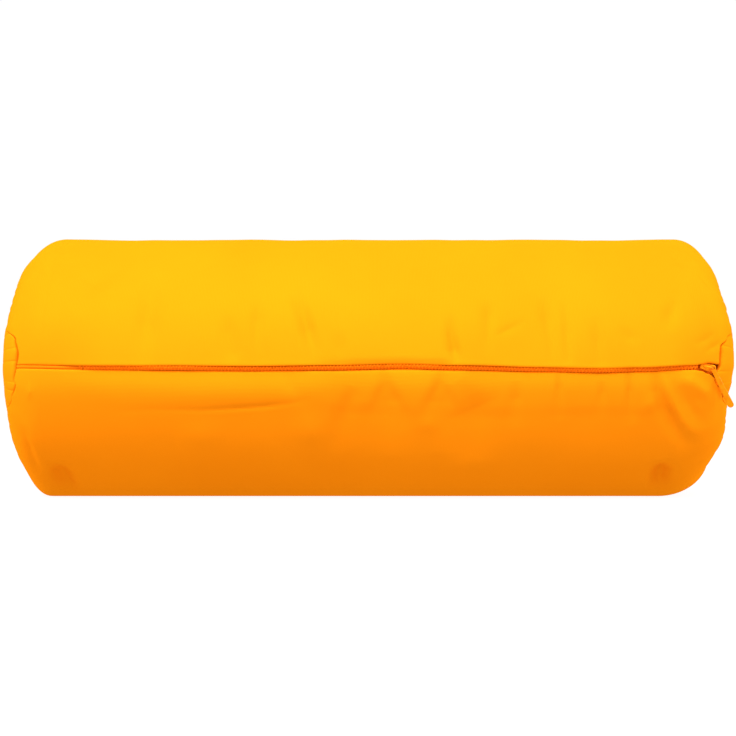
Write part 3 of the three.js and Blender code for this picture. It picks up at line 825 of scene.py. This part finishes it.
def zip_tape():
    """The two woven tapes lie side by side under the coil, with their outer edges under the cover's folds."""
    start = TAPE_GAPS["left"] - zip_end("left")
    stop = zip_end("right") - TAPE_GAPS["right"]
    x = np.append(np.arange(start, stop, TAPE_STEP), stop)
    side = np.array(TAPE_SIDES)
    top = TAPE_TOP - TAPE_DROP * np.abs(side)
    strip = np.exp(-((np.abs(side) / STRIP_HALF_WIDTH) ** STRIP_SQUARENESS))
    section = np.concatenate([side, side[::-1]])
    rings, flats = [], []
    for place in x:
        raised = top + read(STRIP, place) * strip
        height = np.concatenate([raised, top[::-1] - TAPE_THICKNESS]) + POCKET_FLOOR * pocket_share(place)
        places = np.full(len(section), place)
        rings.append(zip_point(places, section, height))
        flats.append(np.stack([places, section], axis=-1))
    ends = [ring.mean(axis=0) for ring in (rings[0], rings[-1])]
    return skin("zip_tapes", ends[0], rings, ends[1], flats)


COIL_PITCH = 1.76
COIL_FROM = -152.0
COIL_TO = 174.0
COIL_SIDE = 0.15
# One loop of the coil from its tape to the middle: side, height, thickness
LOOP = (
    (1.06, -2.0, 0.3),
    (1.12, -1.55, 0.35),
    (0.9, -1.12, 0.38),
    (0.55, -0.94, 0.38),
    (0.15, -0.92, 0.38),
    (-0.2, -1.0, 0.36),
    (-0.36, -1.14, 0.22),
)
LOOP_SIDES = 8
# A loop is thicker along the zip, and leans along it for each millimetre across
LOOP_STRETCH = 1.12
LOOP_SLANT = 0.12
# The cord inside the coil: side, height
CORD = (
    (-1.05, -1.85),
    (-1.12, -1.45),
    (-0.85, -1.1),
    (-0.4, -0.95),
    (0.4, -0.95),
    (0.85, -1.1),
    (1.12, -1.45),
    (1.05, -1.85),
)


def rod_faces(rows, count):
    """Faces of a rod whose rings of points each join the next one, closed at both ends."""
    faces = []
    for start in range(0, (rows - 1) * count, count):
        for c in range(count):
            d = (c + 1) % count
            faces.append((start + c, start + d, start + count + d, start + count + c))
    last = (rows - 1) * count
    return faces + [tuple(range(count))[::-1], tuple(range(last, last + count))]


def zip_coil():
    """Nylon coils from both tapes, meshed over a cord: each loop comes up from its tape to the middle."""
    table = np.array(LOOP)
    path, thick = table[:, :2], table[:, 2:]
    across = np.gradient(path, axis=0)
    across /= np.linalg.norm(across, axis=1, keepdims=True)
    normal = np.stack([-across[:, 1], across[:, 0]], axis=1)
    angles = np.linspace(0, 2 * math.pi, LOOP_SIDES, endpoint=False)
    loop_x = (thick * LOOP_STRETCH * np.cos(angles)).ravel()
    loop_side = (path[:, :1] + thick * normal[:, :1] * np.sin(angles)).ravel()
    loop_height = (path[:, 1:] + thick * normal[:, 1:] * np.sin(angles)).ravel()
    loop_faces = rod_faces(len(path), LOOP_SIDES)
    points, faces, offset = [], [], 0
    for row, start in ((1, COIL_FROM), (-1, COIL_FROM + COIL_PITCH / 2)):
        across_x = loop_x + LOOP_SLANT * row * loop_side
        across_side = row * loop_side + COIL_SIDE
        for x in np.arange(start, COIL_TO, COIL_PITCH):
            points.append(zip_point(x + across_x, across_side, loop_height))
            faces += [tuple(offset + v for v in face[::row]) for face in loop_faces]
            offset += len(loop_x)
    cord = np.array(CORD)
    places = np.arange(COIL_FROM + COIL_PITCH, COIL_TO - COIL_PITCH, COIL_PITCH)
    points += [zip_point(np.full(len(cord), x), cord[:, 0] + COIL_SIDE, cord[:, 1]) for x in places]
    faces += [tuple(offset + v for v in face) for face in rod_faces(len(places), len(cord))]
    return mesh_object("zip_teeth", np.concatenate(points), faces)


# Slider and pull
SLIDER_AT = 180.0
SLIDER_YAW = -14.0
SLIDER_LENGTH = 8.0
SLIDER_WIDTH = 4.2
SLIDER_TAIL_WIDTH = 3.0
SLIDER_THICKNESS = 1.9
SLIDER_BEVEL = 0.45
SLIDER_SEAT = -3.1
# Share of the slider's half length that its round nose takes
NOSE_SHARE = 0.8
NOSE_POINTS = 15
BRIDGE_POINTS = 17
BRIDGE_LENGTH = 5.4
BRIDGE_HEIGHT = 2.8
BRIDGE_WIRE = 0.5
BRIDGE_SINK = 0.5
PULL_LENGTH = 24.6
PULL_HEAD = 3.5
PULL_NECK = 2.2
PULL_TIP_WIDTH = 3.3
PULL_THICKNESS = 1.0
PULL_BEVEL = 0.32
PULL_EYE = 1.0
PULL_SEAT = 1.6
PULL_ROLL = 35.0
# The place that the pull's free end points to
PULL_TIP = Vector((193.8, -67.8, AXIS_HEIGHT - 20))


def slider_frame():
    """X along the slider, Z away from the roll, origin on the tape."""
    place = np.array(SLIDER_AT)
    lean = float(front_place(place)[2])
    origin = Vector(zip_point(place, 0.0, SLIDER_SEAT))
    away = Vector((math.sin(lean), -math.cos(lean), 0))
    forward = Vector((math.cos(lean), math.sin(lean), 0))
    forward.rotate(Matrix.Rotation(math.radians(SLIDER_YAW), 3, away))
    across = away.cross(forward)
    basis = Matrix((forward, across, away)).transposed().to_4x4()
    return Matrix.Translation(origin) @ basis


def arc(centre, radius, start, end, count):
    angles = np.linspace(math.radians(start), math.radians(end), count)
    return [(centre[0] + radius * math.cos(a), centre[1] + radius * math.sin(a)) for a in angles]


def new_curve(name, dimensions, lines, cyclic):
    """A curve of straight stretches along lines of 3-D points."""
    curve = bpy.data.curves.new(name, "CURVE")
    curve.dimensions = dimensions
    curve.bevel_resolution = 3
    for line in lines:
        spline = curve.splines.new("POLY")
        spline.points.add(len(line) - 1)
        for point, place in zip(spline.points, line):
            point.co = (*place, 1)
        spline.use_cyclic_u = cyclic
    return curve


def slab(name, outlines, thickness, bevel):
    """A flat plate with rounded edges from closed outlines, the first of which is the outer one."""
    lines = [[(x, y, 0) for x, y in outline] for outline in outlines]
    curve = new_curve(name, "2D", lines, cyclic=True)
    curve.fill_mode = "BOTH"
    curve.extrude = thickness / 2 - bevel
    curve.bevel_depth = bevel
    curve.offset = -bevel
    return curve


def wire(name, path, radius):
    curve = new_curve(name, "3D", [path], cyclic=False)
    curve.bevel_depth = radius
    curve.use_fill_caps = True
    return curve


def solid_object(name, parts):
    """One mesh from several curves, each put in place by its matrix in millimetres."""
    points, faces = [], []
    for curve, matrix in parts:
        holder = bpy.data.objects.new("holder", curve)
        bpy.context.scene.collection.objects.link(holder)
        evaluated = holder.evaluated_get(bpy.context.evaluated_depsgraph_get())
        mesh = evaluated.to_mesh()
        offset = len(points)
        points += [matrix @ vertex.co for vertex in mesh.vertices]
        faces += [tuple(offset + v for v in polygon.vertices) for polygon in mesh.polygons]
        evaluated.to_mesh_clear()
        bpy.data.objects.remove(holder)
        bpy.data.curves.remove(curve)
    return mesh_object(name, np.array([tuple(point) for point in points]), faces)


def zip_slider():
    """A plate with a round nose, and over it the bridge that the pull hangs on."""
    half, wide, tail = SLIDER_LENGTH / 2, SLIDER_WIDTH / 2, SLIDER_TAIL_WIDTH / 2
    nose = half * NOSE_SHARE
    angles = np.linspace(0, math.pi, NOSE_POINTS)
    front = [(half - nose + nose * math.sin(t), -wide * math.cos(t)) for t in angles]
    plate = slab("slider_plate", [[(-half, -tail), *front, (-half, tail)]], SLIDER_THICKNESS, SLIDER_BEVEL)
    reach = BRIDGE_LENGTH / 2 - BRIDGE_WIRE
    rise = BRIDGE_HEIGHT - BRIDGE_WIRE + BRIDGE_SINK
    angles = np.linspace(0, math.pi, BRIDGE_POINTS)
    path = [(-reach * math.cos(t), 0, rise * math.sin(t) - BRIDGE_SINK) for t in angles]
    seat = slider_frame()
    return solid_object("slider_body", [
        (plate, seat @ Matrix.Translation((0, 0, SLIDER_THICKNESS / 2))),
        (wire("slider_bridge", path, BRIDGE_WIRE), seat @ Matrix.Translation((0, 0, SLIDER_THICKNESS))),
    ])


def zip_pull():
    """A narrow tab with a round head, whose eye hangs on the bridge."""
    head, neck, tip = PULL_HEAD / 2, PULL_NECK / 2, PULL_TIP_WIDTH / 2
    opening = math.degrees(math.asin(neck / head))
    outline = arc((0, 0), head, opening, 360 - opening, count=26)
    outline += arc((PULL_LENGTH - tip, 0), tip, -90, 90, count=14)
    eye = arc((0, 0), PULL_EYE, 0, 345, count=20)
    tab = slab("pull_tab", [outline, eye], PULL_THICKNESS, PULL_BEVEL)
    seat = slider_frame()
    start = seat @ Vector((BRIDGE_LENGTH / 2 - BRIDGE_WIRE, 0, SLIDER_THICKNESS + PULL_SEAT))
    along = (PULL_TIP - start).normalized()
    across = (seat.to_3x3() @ Vector((0, 0, 1))).cross(along).normalized()
    away = along.cross(across)
    for side in (across, away):
        side.rotate(Matrix.Rotation(math.radians(PULL_ROLL), 3, along))
    basis = Matrix((along, across, away)).transposed().to_4x4()
    return solid_object("pull_tab", [(tab, Matrix.Translation(start) @ basis)])


# Materials: fixed values of the cloth's and of the coated pieces' shaders
CLOTH_SHADER = {
    "Specular IOR Level": 0.0,
    "Specular Tint": (1.0, 0.6, 0.05, 1),
    "Metallic": 0.1,
    "Sheen Weight": 0.15,
    "Sheen Roughness": 0.35,
    "Sheen Tint": (1.0, 0.42, 0.01, 1),
}
COATED_SHADER = {
    "Specular IOR Level": 0.08,
    "Specular Tint": (1.0, 0.5, 0.08, 1),
    "Coat Roughness": 0.2,
}
FLOOR_SHADER = {
    "Roughness": 0.9,
    "Specular IOR Level": 0.0,
    "Emission Color": (1, 1, 1, 1),
    "Emission Strength": 0.93,
}
# Carries a thread's width over to a wave texture's scale, at about two threads to a wave
WAVE_FACTOR = 6.2832
# Threads across the cloth lie a little closer than those along it
THREADS = (("X", 1.0), ("Y", 1.15))
THREAD_CONTRAST = 0.3
CLOTH_ROUGHNESS = 0.55


def new_material(name, values):
    """A material whose shader has the fixed values."""
    material = bpy.data.materials.new(name)
    material.use_nodes = True
    tree = material.node_tree
    shader = tree.nodes["Principled BSDF"]
    for socket, value in values.items():
        shader.inputs[socket].default_value = value
    return material, tree, shader


def node(tree, kind, **settings):
    """A node with its settings, each a property of it or the value of a socket."""
    made = tree.nodes.new(kind)
    for key, value in settings.items():
        if hasattr(made, key):
            setattr(made, key, value)
        else:
            made.inputs[key.replace("_", " ")].default_value = value
    return made


def ranged(tree, source, **limits):
    """The source's value carried over from one range to another."""
    made = node(tree, "ShaderNodeMapRange", **limits)
    tree.links.new(source, made.inputs["Value"])
    return made.outputs[0]


def mixed(tree, share, low, high):
    """A colour between two colours. The mix node takes its share in socket 0 and colours in 6 and 7."""
    made = node(tree, "ShaderNodeMix", data_type="RGBA")
    made.inputs[6].default_value = (*low, 1)
    made.inputs[7].default_value = (*high, 1)
    tree.links.new(share, made.inputs[0])
    return made.outputs[2]


def relief(tree, height, strength, distance):
    made = node(tree, "ShaderNodeBump", Strength=strength, Distance=distance)
    tree.links.new(height, made.inputs["Height"])
    return made.outputs[0]


def noise(tree, place, **settings):
    made = node(tree, "ShaderNodeTexNoise", **settings)
    tree.links.new(place.outputs["Object"], made.inputs["Vector"])
    return made.outputs["Fac"]


def satin(name, colour, deep, thread=0.00038, bump=0.25):
    """Cloth woven of fine threads, whose colour varies a little in soft patches and from thread to thread."""
    material, tree, shader = new_material(name, CLOTH_SHADER)
    link = tree.links.new
    place = node(tree, "ShaderNodeTexCoord")
    weave = node(tree, "ShaderNodeMath", operation="MULTIPLY")
    for socket, (direction, density) in zip(weave.inputs, THREADS):
        wave = node(tree, "ShaderNodeTexWave", bands_direction=direction, Distortion=0.6, Detail=1.0)
        wave.inputs["Scale"].default_value = 1 / thread / WAVE_FACTOR * density
        link(place.outputs["UV"], wave.inputs["Vector"])
        link(wave.outputs["Fac"], socket)
    patches = noise(tree, place, Scale=16.0, Detail=3.0, Roughness=0.5)
    threads = node(tree, "ShaderNodeMath", operation="MULTIPLY_ADD")
    threads.inputs[1].default_value = THREAD_CONTRAST
    link(weave.outputs[0], threads.inputs[0])
    link(ranged(tree, patches, From_Min=0.35, From_Max=0.65), threads.inputs[2])
    link(mixed(tree, threads.outputs[0], deep, colour), shader.inputs["Base Color"])
    link(relief(tree, weave.outputs[0], bump, distance=0.00012), shader.inputs["Normal"])
    gloss = ranged(tree, patches, To_Min=CLOTH_ROUGHNESS - 0.05, To_Max=CLOTH_ROUGHNESS + 0.05)
    link(gloss, shader.inputs["Roughness"])
    return material


def coated(name, colour, worn, roughness, coat, scale):
    """A smooth lacquer or nylon, with fine unevenness and a little wear."""
    material, tree, shader = new_material(name, COATED_SHADER)
    link = tree.links.new
    marks = noise(tree, node(tree, "ShaderNodeTexCoord"), Scale=scale, Detail=4.0, Roughness=0.55)
    wear = ranged(tree, marks, From_Min=0.3, From_Max=0.55)
    link(mixed(tree, wear, worn, colour), shader.inputs["Base Color"])
    gloss = ranged(tree, marks, To_Min=roughness - 0.06, To_Max=roughness + 0.08)
    link(gloss, shader.inputs["Roughness"])
    link(relief(tree, marks, strength=0.15, distance=0.00008), shader.inputs["Normal"])
    shader.inputs["Coat Weight"].default_value = coat
    return material


def dress(piece, material, slot, *nodes):
    piece.data.materials.clear()
    piece.data.materials.append(material)
    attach(piece, "root")
    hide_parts(*nodes)


cover_cloth = satin("cover_satin_cloth", (0.79, 0.206, 0.0026), (0.77, 0.196, 0.0024))
tape_cloth = satin("zip_tape_weave", (0.84, 0.19, 0.003), (0.8, 0.15, 0.0024), thread=0.0007, bump=0.5)
coil_nylon = coated(
    "zip_coil_nylon_orange",
    (0.84, 0.165, 0.002),
    (0.8, 0.13, 0.0015),
    roughness=0.5,
    coat=0.0,
    scale=900,
)
lacquer = coated(
    "zip_lacquer_orange",
    (0.8, 0.23, 0.002),
    (0.78, 0.17, 0.0015),
    roughness=0.45,
    coat=0.03,
    scale=500,
)

tube = cover_tube()
dress(tube, cover_cloth, "cover_satin", "cover_roll")
for side in SIDES:
    disc = end_disc(side)
    dress(disc, cover_cloth, "cover_satin", f"end_disc_{side}")
dress(zip_tape(), tape_cloth, "zip_tape_cloth", "zip_tape")
dress(zip_coil(), coil_nylon, "zip_coil_nylon", "zip_coil")
dress(zip_slider(), lacquer, "zip_lacquer", "zip_slider")
dress(zip_pull(), lacquer, "zip_lacquer", "zip_pull")


# Stage, light and camera. The floor's half width is in millimetres, like the shapes.
FLOOR_HALF = 2600.0
WORLD_LIGHT = 1.01
# The lights stand this far from the roll's axis, in metres
LIGHT_DISTANCE = 1.6
# Name, elevation and turn from the front in degrees, width and height in metres, power in watts
LIGHTS = (
    ("main_light", 50, -15, 1.8, 0.8, 40),
    ("top_light", 66, -15, 1.8, 0.8, 9),
    ("left_light", 8, -90, 1.0, 1.0, 12),
    ("right_light", 22, 90, 1.0, 1.0, 16),
)
# The camera's place and range are in metres, its lens and sensor in millimetres
CAMERA_AT = (-0.0003, -0.8, 0.0727)
CAMERA_LENS = 67.108
CAMERA_SENSOR = 36
CAMERA_RANGE = (0.05, 30)


def floor():
    lines = (-FLOOR_HALF, 0, FLOOR_HALF)
    points = np.array([(x, y, 0.0) for x in lines for y in lines])
    faces = [(0, 3, 4, 1), (3, 6, 7, 4), (1, 4, 5, 2), (4, 7, 8, 5)]
    plane = mesh_object("floor", points, faces)
    material, tree, shader = new_material("floor_paper", FLOOR_SHADER)
    grain = node(tree, "ShaderNodeTexNoise", Scale=40.0, Detail=2.0)
    tint = mixed(tree, grain.outputs["Fac"], (0.07, 0.07, 0.07), (0.09, 0.09, 0.09))
    tree.links.new(tint, shader.inputs["Base Color"])
    plane.data.materials.append(material)


def area_light(name, elevation, turn, size, power):
    """A soft box that faces the pillow from an elevation and a turn from the front, in degrees."""
    lamp = bpy.data.lights.new(name, "AREA")
    lamp.shape = "RECTANGLE"
    lamp.size, lamp.size_y = size
    lamp.energy = power
    light = bpy.data.objects.new(name, lamp)
    elevation, turn = math.radians(elevation), math.radians(turn)
    level = math.cos(elevation)
    away = Vector((math.sin(turn) * level, -math.cos(turn) * level, math.sin(elevation)))
    light.location = Vector((0, 0, AXIS_HEIGHT * MM)) + LIGHT_DISTANCE * away
    light.rotation_mode = "QUATERNION"
    light.rotation_quaternion = (-away).to_track_quat("-Z", "Y")
    bpy.context.scene.collection.objects.link(light)


def add_camera():
    data = bpy.data.cameras.new("camera")
    data.lens = CAMERA_LENS
    data.sensor_width = CAMERA_SENSOR
    data.clip_start, data.clip_end = CAMERA_RANGE
    camera = bpy.data.objects.new("camera", data)
    camera.location = CAMERA_AT
    camera.rotation_euler = (math.pi / 2, 0, 0)
    bpy.context.scene.collection.objects.link(camera)
    bpy.context.scene.camera = camera


floor()
for name, elevation, turn, width, height, power in LIGHTS:
    area_light(name, elevation, turn, (width, height), power)
add_camera()

world = bpy.data.worlds.new("studio")
world.use_nodes = True
background = world.node_tree.nodes["Background"]
background.inputs["Color"].default_value = (1, 1, 1, 1)
background.inputs["Strength"].default_value = WORLD_LIGHT
bpy.context.scene.world = world
bpy.context.scene.view_settings.view_transform = "Standard"
bpy.context.scene.view_settings.look = "None"
